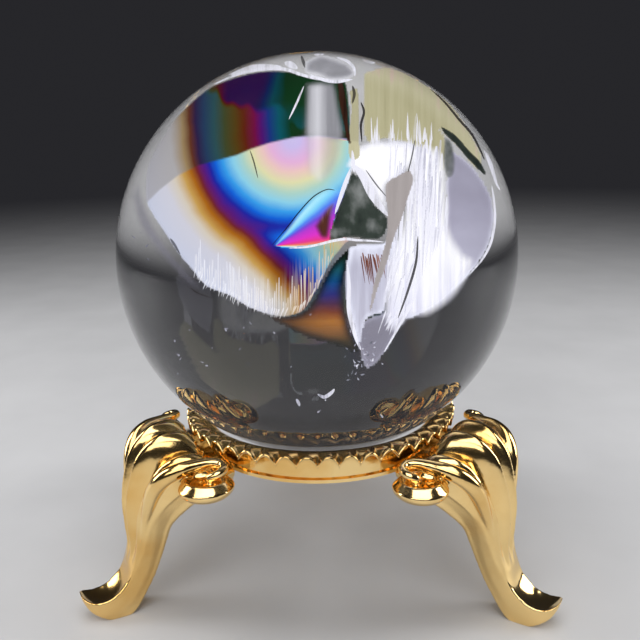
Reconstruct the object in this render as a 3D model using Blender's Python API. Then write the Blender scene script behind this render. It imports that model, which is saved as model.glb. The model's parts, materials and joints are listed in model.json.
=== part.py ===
"""A crystal ball of polished quartz, loose on a gilt three-legged scroll stand.

The stand is a fluted rim on a plain band, with three cast legs screwed to the band from inside.
"""
import math

import bmesh
import bpy
from mathutils import Matrix, Vector

MM = 0.001

# Driving sizes, in millimetres. Radii are measured from the stand's vertical axis.
BALL_RADIUS = 25.0
BALL_HEIGHT = 41.2           # ball centre above the table
GAP = 0.3                    # between neighbouring pieces

RIM_SEAT_RADIUS = 15.0       # where the ball bears
RIM_OUTER_RADIUS = 17.5
RIM_FLUTES = 45
RIM_WAVE = 0.55              # half the height of the fluted edge
RIM_BOTTOM = 20.3

BAND_OUTER_RADIUS = 15.2
BAND_WALL = 0.9
BAND_BOTTOM = 17.0
BAND_LIP = 0.35              # how far the rolled lower edge stands out

LEG_AZIMUTHS = {"leg_back": 90.0, "leg_left": 210.0, "leg_right": 330.0}
FOOT_REACH = 32.3
VOLUTE_RADIUS = 3.1
VOLUTE_THICK = 3.0
VOLUTE_AT = (19.6, 10.2, 17.7)    # radial place, sideways place and height of its middle

SCREW_HEIGHT = 17.9
SCREW_SHANK_RADIUS = 0.45
SCREW_HEAD_RADIUS = 0.85
SCREW_HEAD_THICK = 0.7
SCREW_DEPTH = 2.6            # how far the shank enters the leg
SLOT_WIDTH = 0.3
SLOT_DEPTH = 0.3

# The frame's origin is under the middle of the bounding box, so the stand's axis lies off it in Y:
# the back foot reaches further than the ball does in front.
AXIS_Y = (BALL_RADIUS - FOOT_REACH) / 2

# A leg from its root at the band to its toe. Each station holds the outer face's (radius, height),
# the inner face's (radius, height) and the half width.
LEG_STATIONS = [
    ((15.0, 19.2), (15.0, 16.4), 7.4),
    ((17.8, 19.3), (17.4, 16.1), 8.2),
    ((20.0, 21.2), (18.8, 15.4), 9.0),
    ((22.8, 21.2), (20.0, 14.5), 8.0),
    ((25.0, 18.4), (20.9, 13.0), 6.2),
    ((25.6, 14.6), (21.3, 11.4), 4.9),
    ((25.0, 11.2), (21.4, 9.3), 3.7),
    ((24.5, 8.3), (21.4, 6.9), 2.9),
    ((24.9, 5.9), (21.9, 4.2), 2.5),
    ((26.1, 4.1), (23.4, 1.7), 2.4),
    ((28.1, 3.1), (25.4, -0.3), 2.5),
    ((30.1, 2.9), (29.4, -0.3), 2.5),
    ((31.5, 3.3), (31.4, 0.7), 2.1),
    ((FOOT_REACH, 2.8), (FOOT_REACH, 1.5), 1.2),
]
LEG_LOBES = 4
TOP_POINTS = 17
BACK_POINTS = 3

GOLD = (0.86, 0.66, 0.33, 1.0)


def clear_scene():
    for obj in list(bpy.data.objects):
        bpy.data.objects.remove(obj, do_unlink=True)


def make_material(name, colour, roughness, metallic):
    material = bpy.data.materials.new(name)
    material.use_nodes = True
    shader = material.node_tree.nodes["Principled BSDF"]
    shader.inputs["Base Color"].default_value = colour
    shader.inputs["Roughness"].default_value = roughness
    shader.inputs["Metallic"].default_value = metallic
    return material


def make_object(name, vertices, faces, material):
    """A mesh object from points in millimetres, with its faces turned outward."""
    mesh = bpy.data.meshes.new(name)
    mesh.from_pydata([tuple(c * MM for c in v) for v in vertices], [], faces)
    bm = bmesh.new()
    bm.from_mesh(mesh)
    bmesh.ops.recalc_face_normals(bm, faces=bm.faces)
    bm.to_mesh(mesh)
    bm.free()
    mesh.materials.append(material)
    obj = bpy.data.objects.new(name, mesh)
    bpy.context.scene.collection.objects.link(obj)
    return obj


def smooth(obj, angle=40.0):
    obj.data.shade_smooth()
    obj.data.set_sharp_from_angle(angle=math.radians(angle))


def revolve(name, loops, material):
    """A ring from one closed loop of (radius, height) for each step of the turn."""
    count = len(loops)
    size = len(loops[0])
    vertices = []
    for step, loop in enumerate(loops):
        turn = 2 * math.pi * step / count
        vertices += [(r * math.cos(turn), r * math.sin(turn), h) for r, h in loop]
    faces = []
    for step in range(count):
        here = step * size
        there = (step + 1) % count * size
        for k in range(size):
            after = (k + 1) % size
            faces.append((here + k, there + k, there + after, here + after))
    return make_object(name, vertices, faces, material)


def lathe_solid(name, profile, steps, material):
    """A solid of revolution whose profile runs from the axis at the bottom to the axis at the top."""
    inner = profile[1:-1]
    vertices = [(0.0, 0.0, profile[0][1]), (0.0, 0.0, profile[-1][1])]
    for step in range(steps):
        turn = 2 * math.pi * step / steps
        vertices += [(r * math.cos(turn), r * math.sin(turn), h) for r, h in inner]
    faces = []
    size = len(inner)
    for step in range(steps):
        here = 2 + step * size
        there = 2 + (step + 1) % steps * size
        faces.append((0, there, here))
        faces.append((1, here + size - 1, there + size - 1))
        for k in range(size - 1):
            faces.append((here + k, there + k, there + k + 1, here + k + 1))
    return make_object(name, vertices, faces, material)


def boolean(target, tool, operation):
    """Apply an exact Boolean to the target, then remove the tool."""
    modifier = target.modifiers.new(operation.title(), "BOOLEAN")
    modifier.operation = operation
    modifier.solver = "EXACT"
    modifier.object = tool
    bpy.context.view_layer.update()
    depsgraph = bpy.context.evaluated_depsgraph_get()
    result = bpy.data.meshes.new_from_object(target.evaluated_get(depsgraph))
    target.modifiers.clear()
    target.data = result
    bpy.data.objects.remove(tool, do_unlink=True)


def place(obj, azimuth, local=Matrix.Identity(4)):
    """Bake a placement in the stand's own frame into the mesh: local first, then the azimuth."""
    turn = Matrix.Rotation(math.radians(azimuth), 4, "Z")
    obj.data.transform(turn @ local)


# The ball.

def ball(material):
    rings = 22
    profile = []
    for k in range(rings + 1):
        angle = -math.pi / 2 + math.pi * k / rings
        profile.append((BALL_RADIUS * math.cos(angle), BALL_RADIUS * math.sin(angle)))
    obj = lathe_solid("crystal_ball", profile, 44, material)
    smooth(obj, 60)
    obj.location = (0, 0, BALL_HEIGHT * MM)
    return obj


# The ring: a fluted rim on a plain band.

def rim_loop(wave):
    """The rim's section. wave runs from 0 in a groove to 1 on the crown of a flute."""
    lift = RIM_WAVE * (2 * wave - 1)
    return [
        (RIM_SEAT_RADIUS - 0.4, RIM_BOTTOM),
        (RIM_SEAT_RADIUS + 0.8, RIM_BOTTOM),
        (RIM_OUTER_RADIUS - 0.5, RIM_BOTTOM - 0.1 + lift),
        (RIM_OUTER_RADIUS, RIM_BOTTOM + 0.1 + lift),
        (RIM_OUTER_RADIUS - 0.1, RIM_BOTTOM + 0.5 + lift),
        (RIM_SEAT_RADIUS + 1.3, RIM_BOTTOM + 0.9 + 0.35 * lift),
        (RIM_SEAT_RADIUS, RIM_BOTTOM + 0.6),
        (RIM_SEAT_RADIUS - 0.4, RIM_BOTTOM + 0.3),
    ]


def rim_ring(material):
    per_flute = 4
    loops = []
    for step in range(RIM_FLUTES * per_flute):
        loops.append(rim_loop(abs(math.sin(math.pi * step / per_flute))))
    obj = revolve("rim_ring", loops, material)
    smooth(obj)
    return obj


def ring_band(material):
    """The band: a thin wall with a rolled lip at its lower edge and three screw holes."""
    inner = BAND_OUTER_RADIUS - BAND_WALL
    top = RIM_BOTTOM - GAP
    loop = [
        (inner, BAND_BOTTOM),
        (BAND_OUTER_RADIUS, BAND_BOTTOM),
        (BAND_OUTER_RADIUS + BAND_LIP, BAND_BOTTOM + 0.15),
        (BAND_OUTER_RADIUS + BAND_LIP, BAND_BOTTOM + 0.55),
        (BAND_OUTER_RADIUS, BAND_BOTTOM + 0.7),
        (BAND_OUTER_RADIUS, top),
        (inner, top),
    ]
    obj = revolve("ring_band", [loop] * 96, material)
    for azimuth in LEG_AZIMUTHS.values():
        radius = SCREW_SHANK_RADIUS + GAP
        hole = radial_rod("hole", inner - 1, BAND_OUTER_RADIUS + 1, radius, material)
        place(hole, azimuth)
        boolean(obj, hole, "DIFFERENCE")
    smooth(obj)
    return obj


# The legs and their screws. Each is made lying along +X from the axis, then turned to its azimuth.

def radial_rod(name, start, end, radius, material):
    """A round rod along +X at the screws' height, from one radius to another."""
    rod = lathe_solid(name, [(0, 0), (radius, 0), (radius, end - start), (0, end - start)],
                      16, material)
    to_x = Matrix.Rotation(math.radians(90), 4, "Y")
    shift = Matrix.Translation(Vector((start, 0, SCREW_HEIGHT)) * MM)
    place(rod, 0, shift @ to_x)
    return rod


def leg_section(outer, inner, half_width, lobe_depth):
    """One closed section of a leg: lobes across the outer face, then a flat back."""
    points = []
    for k in range(TOP_POINTS):
        across = 2 * k / (TOP_POINTS - 1) - 1
        dome = 0.42 + 0.58 * math.sqrt(max(0.0, 1 - across ** 2))
        lobe = abs(math.sin(math.pi * LEG_LOBES * across / 2))
        depth = dome * (1 - lobe_depth * (1 - lobe))
        r = inner[0] + (outer[0] - inner[0]) * depth
        h = inner[1] + (outer[1] - inner[1]) * depth
        points.append((r, across * half_width, h))
    for k in range(BACK_POINTS):
        across = 1 - 2 * (k + 0.5) / BACK_POINTS
        points.append((inner[0], across * half_width * 0.9, inner[1]))
    return points


def leg_body(name, material):
    """The leg's cast body, lofted through its stations."""
    vertices = []
    for index, (outer, inner, half_width) in enumerate(LEG_STATIONS):
        lobe_depth = 0.16 if 2 <= index <= 6 else 0.0
        vertices += leg_section(outer, inner, half_width, lobe_depth)
    size = TOP_POINTS + BACK_POINTS
    faces = [tuple(range(size))]
    for station in range(len(LEG_STATIONS) - 1):
        here = station * size
        for k in range(size):
            after = (k + 1) % size
            faces.append((here + k, here + after, here + size + after, here + size + k))
    last = (len(LEG_STATIONS) - 1) * size
    faces.append(tuple(range(last, last + size)))
    return make_object(name, vertices, faces, material)


def volute(side, material):
    """One scroll beside the leg's top: a thick coil with round edges and a raised eye."""
    half = VOLUTE_THICK / 2
    r = VOLUTE_RADIUS
    profile = [
        (0, -half), (0.75 * r, -half), (0.93 * r, -0.75 * half), (r, -0.25 * half),
        (r, 0.25 * half), (0.93 * r, 0.75 * half), (0.75 * r, half), (0.5 * r, half),
        (0.42 * r, 0.72 * half), (0.3 * r, 0.72 * half), (0.22 * r, half), (0, half + 0.15),
    ]
    coil = lathe_solid("volute", profile, 24, material)
    radial, sideways, height = VOLUTE_AT
    lean = Matrix.Rotation(math.radians(-12 * side), 4, "X")
    place(coil, 0, Matrix.Translation(Vector((radial, side * sideways, height)) * MM) @ lean)
    return coil


def leg(name, azimuth, material):
    obj = leg_body(name, material)
    for side in (-1, 1):
        boolean(obj, volute(side, material), "UNION")
    clearance = BAND_OUTER_RADIUS + BAND_LIP + GAP
    core = lathe_solid("core", [(0, 0), (clearance, 0), (clearance, 40), (0, 40)], 96, material)
    boolean(obj, core, "DIFFERENCE")
    ground = lathe_solid("ground", [(0, -5), (50, -5), (50, 0), (0, 0)], 12, material)
    boolean(obj, ground, "DIFFERENCE")
    end = clearance + SCREW_DEPTH + GAP
    radius = SCREW_SHANK_RADIUS + GAP
    boolean(obj, radial_rod("hole", clearance - 1, end, radius, material), "DIFFERENCE")
    place(obj, azimuth)
    smooth(obj)
    return obj


def leg_screw(name, azimuth, material):
    """A slotted cheese-head screw, its head inside the band and its shank in the leg's root."""
    head_end = BAND_OUTER_RADIUS - BAND_WALL - GAP
    tip = BAND_OUTER_RADIUS + BAND_LIP + GAP + SCREW_DEPTH
    length = tip - head_end
    head = -SCREW_HEAD_THICK
    profile = [
        (0, head), (SCREW_HEAD_RADIUS, head), (SCREW_HEAD_RADIUS, 0), (SCREW_SHANK_RADIUS, 0),
        (SCREW_SHANK_RADIUS, length - 0.25), (0.5 * SCREW_SHANK_RADIUS, length), (0, length),
    ]
    obj = lathe_solid(name, profile, 20, material)
    wide = SCREW_HEAD_RADIUS + 1
    half = SLOT_WIDTH / 2
    low = head - 1
    high = head + SLOT_DEPTH
    corners = [(x, y, z) for x in (-wide, wide) for y in (-half, half) for z in (low, high)]
    sides = [(0, 1, 3, 2), (4, 6, 7, 5), (0, 4, 5, 1), (2, 3, 7, 6), (0, 2, 6, 4), (1, 5, 7, 3)]
    boolean(obj, make_object("slot", corners, sides, material), "DIFFERENCE")
    to_x = Matrix.Rotation(math.radians(90), 4, "Y")
    shift = Matrix.Translation(Vector((head_end, 0, SCREW_HEIGHT)) * MM)
    place(obj, azimuth, shift @ to_x)
    smooth(obj)
    return obj


def build():
    clear_scene()
    pieces = [
        ball(make_material("rainbow_quartz", (0.78, 0.77, 0.8, 1.0), 0.02, 0.0)),
        rim_ring(make_material("gilt_rim", GOLD, 0.12, 1.0)),
        ring_band(make_material("gilt_band", GOLD, 0.1, 1.0)),
    ]
    for name, azimuth in LEG_AZIMUTHS.items():
        gilt = make_material("gilt_" + name, GOLD, 0.14, 1.0)
        pieces.append(leg(name, azimuth, gilt))
        steel = make_material("steel_" + name, (0.62, 0.6, 0.56, 1.0), 0.3, 1.0)
        pieces.append(leg_screw(name.replace("leg", "leg_screw"), azimuth, steel))
    for obj in pieces:
        obj.location.y += AXIS_Y * MM


build()
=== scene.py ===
"""Looks of the crystal ball on its gilt scroll stand.

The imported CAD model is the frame. The ball, its fracture veils, the fluted rim and the cast legs are
fine meshes that stand for the CAD nodes; the band and the screws keep their CAD meshes.
The stand's shapes are in millimetres from its vertical axis and the table. The flaws in the crystal are
laid out as they appear from the front, in ball radii right of and above the ball's centre.
"""

import json
import math

import bmesh
import bpy
import numpy as np
from mathutils import Matrix, Vector

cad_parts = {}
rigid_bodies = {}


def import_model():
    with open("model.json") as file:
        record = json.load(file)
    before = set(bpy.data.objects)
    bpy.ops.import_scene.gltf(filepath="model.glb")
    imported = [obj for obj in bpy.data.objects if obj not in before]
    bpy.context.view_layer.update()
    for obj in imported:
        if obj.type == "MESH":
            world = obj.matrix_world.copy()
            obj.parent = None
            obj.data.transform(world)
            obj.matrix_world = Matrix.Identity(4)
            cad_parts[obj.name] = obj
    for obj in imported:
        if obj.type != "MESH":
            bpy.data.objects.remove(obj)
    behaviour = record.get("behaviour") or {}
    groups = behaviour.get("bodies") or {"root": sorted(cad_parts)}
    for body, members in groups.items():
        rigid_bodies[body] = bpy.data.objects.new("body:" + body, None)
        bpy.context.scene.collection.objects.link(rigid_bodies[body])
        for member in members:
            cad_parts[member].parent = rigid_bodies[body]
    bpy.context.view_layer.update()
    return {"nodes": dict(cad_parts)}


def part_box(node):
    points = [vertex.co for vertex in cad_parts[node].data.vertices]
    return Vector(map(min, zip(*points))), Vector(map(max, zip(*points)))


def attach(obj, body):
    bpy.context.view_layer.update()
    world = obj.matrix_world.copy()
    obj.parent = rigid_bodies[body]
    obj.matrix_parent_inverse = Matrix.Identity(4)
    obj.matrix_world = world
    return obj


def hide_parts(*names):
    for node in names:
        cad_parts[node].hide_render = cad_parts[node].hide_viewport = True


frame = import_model()

MM = 0.001
QUARTZ_INDEX = 1.544         # how strongly quartz bends light

BALL_LOW, BALL_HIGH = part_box("crystal_ball")
BALL_CENTRE = (BALL_LOW + BALL_HIGH) / 2
BALL_RADIUS = (BALL_HIGH.z - BALL_LOW.z) / 2
AXIS = Vector((BALL_CENTRE.x, BALL_CENTRE.y, 0))


# The view: the camera stands four ball radii away, a little to the right and above.

VIEW_AZIMUTH = math.radians(3.5)
VIEW_ELEVATION = math.radians(9.6)
VIEW_ROLL = math.radians(-1.3)
VIEW_DISTANCE = 4 * BALL_RADIUS
LENS = 43.9
SENSOR = 36.0
SHIFT = (0.0047, -0.106)
NEAR_CLIP = 0.001

VIEW_OUT = Vector((math.sin(VIEW_AZIMUTH) * math.cos(VIEW_ELEVATION),
                   -math.cos(VIEW_AZIMUTH) * math.cos(VIEW_ELEVATION),
                   math.sin(VIEW_ELEVATION)))
VIEW_TURN = (-VIEW_OUT).to_track_quat("-Z", "Y").to_matrix() @ Matrix.Rotation(VIEW_ROLL, 3, "Z")
VIEW_POINT = BALL_CENTRE + VIEW_OUT * VIEW_DISTANCE
BALL_SPREAD = math.tan(math.asin(BALL_RADIUS / VIEW_DISTANCE))


# Objects.

def add_object(name, data, place=(0, 0, 0)):
    added = bpy.data.objects.new(name, data)
    bpy.context.scene.collection.objects.link(added)
    added.location = place
    return added


def add_piece(name, mesh, place, body):
    """A piece of the object that rides on a CAD body."""
    piece = add_object(name, mesh, place)
    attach(piece, body)
    return piece


# Shader nodes.

def new_material(name):
    material = bpy.data.materials.new(name)
    material.use_nodes = True
    tree = material.node_tree
    return material, tree, tree.nodes["Principled BSDF"]


def add_node(tree, kind, **settings):
    """A shader node. Settings that name an input set its value; the others set the node's own."""
    node = tree.nodes.new(kind)
    for key, value in settings.items():
        if key in node.inputs:
            node.inputs[key].default_value = value
        else:
            setattr(node, key, value)
    return node


def maths(tree, operation, *values):
    """A math node over sockets or plain numbers."""
    node = add_node(tree, "ShaderNodeMath", operation=operation)
    for place, value in enumerate(values):
        if isinstance(value, (int, float)):
            node.inputs[place].default_value = value
        else:
            tree.links.new(value, node.inputs[place])
    return node.outputs["Value"]


def ramp(tree, factor, stops):
    """A colour ramp from (position, colour) stops."""
    node = tree.nodes.new("ShaderNodeValToRGB")
    elements = node.color_ramp.elements
    for index, (position, colour) in enumerate(stops):
        element = elements[index] if index < 2 else elements.new(position)
        element.position = position
        element.color = (*colour, 1.0)
    tree.links.new(factor, node.inputs["Fac"])
    return node.outputs["Color"]


def cloud(tree, scale, detail):
    """Noise fixed to the piece, with features about 1 / scale metres wide."""
    place = add_node(tree, "ShaderNodeTexCoord").outputs["Object"]
    texture = add_node(tree, "ShaderNodeTexNoise", Scale=scale, Detail=detail)
    tree.links.new(place, texture.inputs["Vector"])
    return texture.outputs["Fac"]


def relief(tree, shader, height, strength, depth):
    bump = add_node(tree, "ShaderNodeBump", Strength=strength, Distance=depth)
    tree.links.new(height, bump.inputs["Height"])
    tree.links.new(bump.outputs["Normal"], shader.inputs["Normal"])


# Materials.

GOLD = (1.0, 0.72, 0.32)
TARNISH = (0.86, 0.74, 0.55)          # what tarnish leaves of each of gold's colours
DULL, POLISHED = 0.204, 0.06          # roughness


def gold(name):
    """Polished gold plate over a casting: slow ripples, fine pits and a little tarnish in patches."""
    material, tree, shader = new_material(name)
    ripples = cloud(tree, 260.0, 3.0)
    pits = cloud(tree, 2600.0, 2.0)
    patches = cloud(tree, 120.0, 4.0)
    tarnished = tuple(full * left for full, left in zip(GOLD, TARNISH))
    colour = ramp(tree, patches, [(0.3, tarnished), (0.55, GOLD)])
    tree.links.new(colour, shader.inputs["Base Color"])
    shader.inputs["Metallic"].default_value = 1.0
    roughness = maths(tree, "MULTIPLY_ADD", patches, POLISHED - DULL, DULL)
    tree.links.new(roughness, shader.inputs["Roughness"])
    relief(tree, shader, maths(tree, "MULTIPLY_ADD", pits, 0.12, ripples), 0.3, 0.2 * MM)
    return material


def steel(name):
    """Plain turned steel with a fine grain."""
    material, tree, shader = new_material(name)
    grain = cloud(tree, 2200.0, 2.0)
    colour = ramp(tree, grain, [(0.3, (0.42, 0.4, 0.37)), (0.7, (0.66, 0.64, 0.6))])
    tree.links.new(colour, shader.inputs["Base Color"])
    shader.inputs["Metallic"].default_value = 1.0
    shader.inputs["Roughness"].default_value = 0.3
    relief(tree, shader, grain, 0.2, 0.1 * MM)
    return material


def quartz():
    """Clear polished quartz with a breath of haze."""
    material, tree, shader = new_material("rainbow_quartz")
    haze = ramp(tree, cloud(tree, 90.0, 4.0), [(0.35, (0.97, 0.97, 0.98)), (0.7, (1.0, 1.0, 1.0))])
    tree.links.new(haze, shader.inputs["Base Color"])
    shader.inputs["Transmission Weight"].default_value = 1.0
    shader.inputs["IOR"].default_value = QUARTZ_INDEX
    shader.inputs["Roughness"].default_value = 0.0
    return material


# The ball.

BALL_SUBDIVISIONS = 7


def crystal_ball():
    mesh = bpy.data.meshes.new("ball_crystal")
    bm = bmesh.new()
    bmesh.ops.create_icosphere(bm, subdivisions=BALL_SUBDIVISIONS, radius=BALL_RADIUS)
    bm.to_mesh(mesh)
    bm.free()
    mesh.shade_smooth()
    mesh.materials.append(quartz())
    ball = add_piece("ball_crystal", mesh, BALL_CENTRE, "ball")
    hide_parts("crystal_ball")


# Tools for shapes in millimetres.

def smooth_path(points, per_span):
    """A Catmull-Rom curve through the points, which may hold any number of values each."""
    rows = np.array(points, float)
    ends = np.vstack([2 * rows[0] - rows[1], rows, 2 * rows[-1] - rows[-2]])
    out = []
    for k in range(1, len(ends) - 2):
        a, b, c, d = ends[k - 1:k + 3]
        for step in range(per_span):
            t = step / per_span
            out.append(0.5 * (2 * b + (c - a) * t + (2 * a - 5 * b + 4 * c - d) * t ** 2
                              + (3 * b - a - 3 * c + d) * t ** 3))
    out.append(rows[-1])
    return out


def skin(bm, sections):
    """Join closed sections of equal length into a capped tube."""
    rings = [[bm.verts.new(p) for p in section] for section in sections]
    size = len(rings[0])
    for here, there in zip(rings, rings[1:]):
        for k in range(size):
            after = (k + 1) % size
            bm.faces.new((here[k], here[after], there[after], there[k]))
    bm.faces.new(rings[0][::-1])
    bm.faces.new(rings[-1])


TUBE_SIDES = 14
TUBE_END_ANGLES = (28, 55, 80)        # degrees around the rounded end, from the tube to its tip


def tube(bm, path):
    """A round tube through (x, y, z, radius) points, with rounded ends."""
    spine = [(Vector(row[:3]), row[3]) for row in path]
    head, head_radius = spine[0]
    tail, tail_radius = spine[-1]
    start = (head - spine[1][0]).normalized()
    stop = (tail - spine[-2][0]).normalized()
    turns = [math.radians(angle) for angle in TUBE_END_ANGLES]
    stations = [(head + start * head_radius * math.sin(turn), head_radius * math.cos(turn))
                for turn in reversed(turns)]
    stations += spine
    stations += [(tail + stop * tail_radius * math.sin(turn), tail_radius * math.cos(turn))
                 for turn in turns]
    sections = []
    up = Vector((0, 0, 1))
    for index, (point, radius) in enumerate(stations):
        before = stations[max(index - 1, 0)][0]
        after = stations[min(index + 1, len(stations) - 1)][0]
        ahead = (after - before).normalized()
        side = ahead.cross(up).normalized()
        up = side.cross(ahead)
        sections.append([
            point + side * radius * math.cos(2 * math.pi * k / TUBE_SIDES)
            + up * radius * math.sin(2 * math.pi * k / TUBE_SIDES)
            for k in range(TUBE_SIDES)
        ])
    skin(bm, sections)


CAST_VOXEL = 0.125
CAST_SMOOTHING = 12


def cast(name, bm):
    """Fuse overlapping solids, in millimetres, into one smooth cast body, still in millimetres."""
    mesh = bpy.data.meshes.new(name)
    bmesh.ops.recalc_face_normals(bm, faces=bm.faces)
    bm.to_mesh(mesh)
    bm.free()
    raw = add_object(name + "_raw", mesh)
    fuse = raw.modifiers.new("Fuse", "REMESH")
    fuse.mode = "VOXEL"
    fuse.voxel_size = CAST_VOXEL
    soften = raw.modifiers.new("Soften", "SMOOTH")
    soften.factor = 0.5
    soften.iterations = CAST_SMOOTHING
    bpy.context.view_layer.update()
    depsgraph = bpy.context.evaluated_depsgraph_get()
    fused = bpy.data.meshes.new_from_object(raw.evaluated_get(depsgraph))
    bpy.data.objects.remove(raw, do_unlink=True)
    fused.name = name
    return fused


# The legs.

# A leg from its root to its toe: the outer face's (radius, height), the back's (radius, height),
# the half width, how deep the grooves between its four lobes are (or, below zero, how deep the
# toe's top is dished), and how far its shoulders fall away.
LEG_CORE = [
    (15.0, 19.0, 15.0, 16.4, 7.6, 0.0, 0.40),
    (17.4, 19.2, 17.2, 16.2, 8.2, 0.2, 0.45),
    (18.3, 21.0, 17.8, 15.8, 8.5, 2.3, 0.50),
    (20.0, 22.0, 18.8, 15.4, 8.4, 3.5, 0.54),
    (22.8, 21.6, 20.0, 14.6, 7.6, 3.7, 0.56),
    (25.0, 19.6, 20.8, 13.4, 6.4, 3.3, 0.55),
    (26.1, 16.6, 21.5, 12.2, 5.3, 2.3, 0.48),
    (26.6, 13.4, 22.0, 10.9, 4.3, 1.35, 0.40),
    (26.5, 10.4, 22.4, 9.0, 3.5, 0.8, 0.32),
    (26.3, 8.0, 22.9, 7.0, 2.9, 0.3, 0.22),
    (26.6, 6.0, 23.7, 4.6, 2.4, 0.0, 0.12),
    (27.3, 4.4, 24.9, 2.3, 2.1, -0.3, 0.08),
    (28.4, 3.3, 26.4, 0.2, 2.0, -0.5, 0.05),
    (29.6, 2.8, 28.3, -0.4, 1.95, -0.55, 0.05),
    (30.9, 2.8, 30.2, 0.5, 1.8, -0.45, 0.06),
    (31.8, 3.2, 31.4, 1.5, 1.45, -0.3, 0.10),
    (32.3, 3.5, 32.1, 2.6, 0.7, 0.0, 0.15),
]
CORE_STEPS = 24              # sections between two rows
FACE_STEPS = 96              # steps across a section's outer face
LOBE_SPLIT = 0.50            # where the groove between inner and outer lobe runs across the face
GROOVE_ROUND = 1.7           # how round the grooves' bottoms are where the leg is wide
CUSP_HALF_WIDTHS = (4, 7)    # the grooves go from soft to sharp between these half widths
OUTER_LOBE_FALL = 0.35       # how far the outer lobes fall to the leg's edge, against a groove
SHOULDER_POWER = 2.2
# The sides and the narrower back of a section: (across, share of the way out to the outer face).
BACK = [(0.97, 0.35), (0.90, 0.12), (0.92, 0.03), (0.84, -0.04), (0.72, 0.05), (0.4, 0.04), (0.0, 0.05)]
# The ridge that leaves the outer lobe at the knee and hooks in to the scroll's eye:
# (radius, sideways, height, thickness).
HOOK = [
    (25.2, 3.0, 9.8, 0.25), (24.9, 3.6, 12.2, 0.5), (24.6, 4.4, 14.5, 0.75), (24.1, 5.4, 16.8, 0.95),
    (23.1, 6.5, 18.5, 1.0), (21.5, 7.3, 19.4, 0.9), (19.7, 7.6, 19.7, 0.75), (18.0, 8.0, 19.8, 0.62),
    (17.1, 8.7, 19.7, 0.56), (17.1, 9.7, 19.6, 0.52), (18.0, 10.2, 19.3, 0.52),
    (18.8, 9.8, 18.9, 0.56),
]
VOLUTE_CENTRE = (19.1, 9.3, 17.85)
VOLUTE_HALF = 1.3
VOLUTE_RADIUS = 3.0
VOLUTE_STRETCH = 1.08        # how much longer than wide a scroll is
VOLUTE_SIDES = 32
# A scroll's section, from its underside over its edge to its sunk top: shares of radius and half height.
VOLUTE_PROFILE = [(0.50, -1.0), (0.80, -0.8), (0.96, -0.4), (1.0, -0.05), (0.72, 0.64), (0.65, 0.66),
                  (0.59, 0.30)]
PLATE_RADIUS = 15.85         # the root's bearing face, clear of the band's lip
LEG_AZIMUTH = {"leg_back": 90, "leg_left": 210, "leg_right": 330}


def groove_at(far, half):
    """How deep the face lies below its lobes' crowns: 0 on a crown and about 1 in a groove."""
    within = far / LOBE_SPLIT if far < LOBE_SPLIT else (far - LOBE_SPLIT) / (1 - LOBE_SPLIT)
    slope = abs(2 * within - 1)
    sharp = 1 - math.hypot(1 - 0.6 * slope ** 2 - 0.4 * slope ** 4, GROOVE_ROUND / half)
    soft = 0.5 - 0.5 * math.cos(math.pi * slope)
    narrow, wide = CUSP_HALF_WIDTHS
    valley = soft + (sharp - soft) * min(max((half - narrow) / (wide - narrow), 0), 1)
    if far > LOBE_SPLIT and within > 0.5:
        valley *= OUTER_LOBE_FALL
    return valley


def leg_section(outer, inner, half, groove, shoulder):
    """One section: broad lobes parted by grooves, then flat sides and a narrower back."""
    outer, inner = np.array(outer), np.array(inner)
    through = outer - inner
    thick = np.linalg.norm(through)
    outline = []
    for k in range(FACE_STEPS + 1):
        across = 2 * k / FACE_STEPS - 1
        far = abs(across)
        depth = 1 - shoulder * far ** SHOULDER_POWER - groove_at(far, half) * max(groove, 0) / thick
        depth += min(groove, 0) * (1 - far ** 2) / thick
        outline.append((across, depth))
    outline += BACK + [(-across, depth) for across, depth in BACK[-2::-1]]
    points = []
    for across, depth in outline:
        place = inner + through * depth
        points.append((place[0], across * half, place[1]))
    return points


def volute(bm, side):
    """A scroll: a thick disc with a sunk top and a raised edge, and the ridge that curls in to it."""
    radius, sideways, height = VOLUTE_CENTRE
    turns = [2 * math.pi * k / VOLUTE_SIDES for k in range(VOLUTE_SIDES)]
    skin(bm, [[(radius + VOLUTE_RADIUS * share * math.cos(turn) * VOLUTE_STRETCH,
                side * sideways + VOLUTE_RADIUS * share * math.sin(turn),
                height + VOLUTE_HALF * level) for turn in turns]
              for share, level in VOLUTE_PROFILE])
    tube(bm, [(r, side * y, h, thick) for r, y, h, thick in smooth_path(HOOK, 8)])


def leg_mesh():
    """One leg along +X, its root cut back to the band's round and its foot to the table."""
    bm = bmesh.new()
    skin(bm, [leg_section(row[0:2], row[2:4], *row[4:]) for row in smooth_path(LEG_CORE, CORE_STEPS)])
    for side in (-1, 1):
        volute(bm, side)
    mesh = cast("leg_cast", bm)
    points = np.empty(len(mesh.vertices) * 3)
    mesh.vertices.foreach_get("co", points)
    points = points.reshape(-1, 3)
    reach = np.hypot(points[:, 0], points[:, 1])
    points[:, :2] *= np.maximum(PLATE_RADIUS / np.maximum(reach, 0.01), 1.0)[:, None]
    points[:, 2] = np.maximum(points[:, 2], 0.0)
    mesh.vertices.foreach_set("co", (points * MM).ravel())
    mesh.update()
    return mesh


def legs():
    shared = leg_mesh()
    casting = gold("gilt_casting")
    for node, azimuth in LEG_AZIMUTH.items():
        mesh = shared.copy()
        mesh.name = "cast_" + node
        mesh.transform(Matrix.Rotation(math.radians(azimuth), 4, "Z"))
        mesh.shade_smooth()
        mesh.materials.append(casting)
        leg = add_piece("cast_" + node, mesh, AXIS, "stand")
        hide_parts(node)
    bpy.data.meshes.remove(shared)


# The rim.

RIM_FLUTES = 45
RIM_WAVE = 0.55              # half the height of the fluted edge
RIM_PINCH = 0.12             # how far a groove's edge is drawn in
RIM_BOTTOM = 20.3
STEPS_PER_FLUTE = 16


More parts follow.
